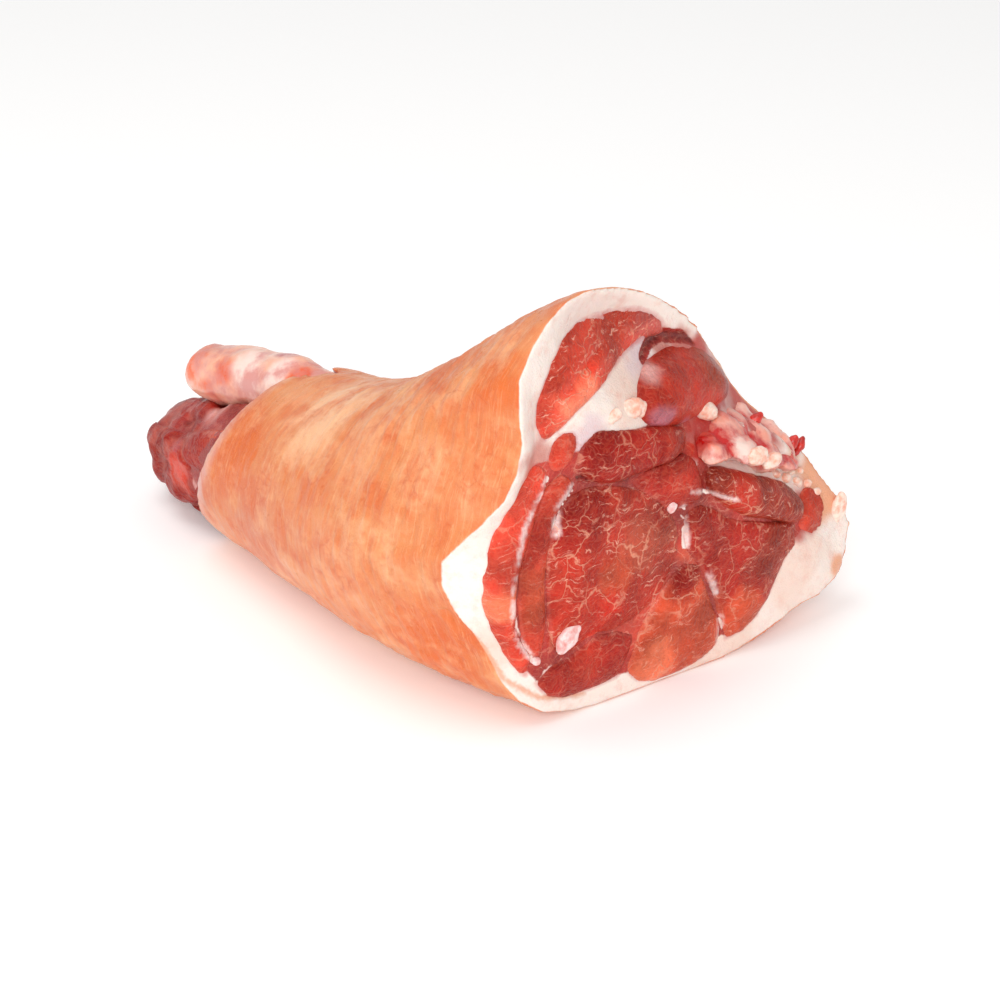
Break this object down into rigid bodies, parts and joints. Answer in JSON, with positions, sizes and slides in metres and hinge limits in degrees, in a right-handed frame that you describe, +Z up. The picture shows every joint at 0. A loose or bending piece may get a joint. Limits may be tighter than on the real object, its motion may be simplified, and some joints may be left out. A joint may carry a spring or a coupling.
{
  "type": "bone-in pork foreleg",
  "caption": "Raw bone-in pork foreleg with its rind on: a domed, many-muscled cut face at the wide end, a trimmed meaty stump and a bone knob at the narrow shank end.",
  "frame": {"origin": "middle of the bounding box in plan, at the height of the surface it rests on", "axes": "+X along the leg toward the wide cut face, +Y across it toward the thick corner of the cut, +Z up"},
  "size_m": [0.2918, 0.22, 0.18],
  "materials": {
    "rind_and_fat": "tan-orange pork rind with fine hair lines, satin; white fat where it is cut",
    "lean_meat": "wet red lean meat with fine cream marbling",
    "dark_lean_meat": "wet dark purple-red lean meat under thin silver skin",
    "bone": "pinkish-white wet cut bone with red marrow and blood between its lumps",
    "bone_and_gristle": "pale pink-orange bone end under gristle, satin"
  },
  "bodies": {
    "root": {"rind_and_fat": "rind_and_fat", "muscle_top": "lean_meat", "muscle_shoulder_dome": "dark_lean_meat", "muscle_small_notch": "dark_lean_meat", "muscle_upper_middle": "lean_meat", "muscle_left_outer": "lean_meat", "muscle_left_inner": "lean_meat", "muscle_centre": "lean_meat", "muscle_bottom_left": "lean_meat", "muscle_bottom_middle": "lean_meat", "muscle_right": "lean_meat", "muscle_under_knuckle": "lean_meat", "muscle_middle_wedge": "lean_meat", "muscle_corner": "dark_lean_meat", "knuckle_bone": "bone", "shank_bone": "bone_and_gristle"}
  },
  "joints": []
}
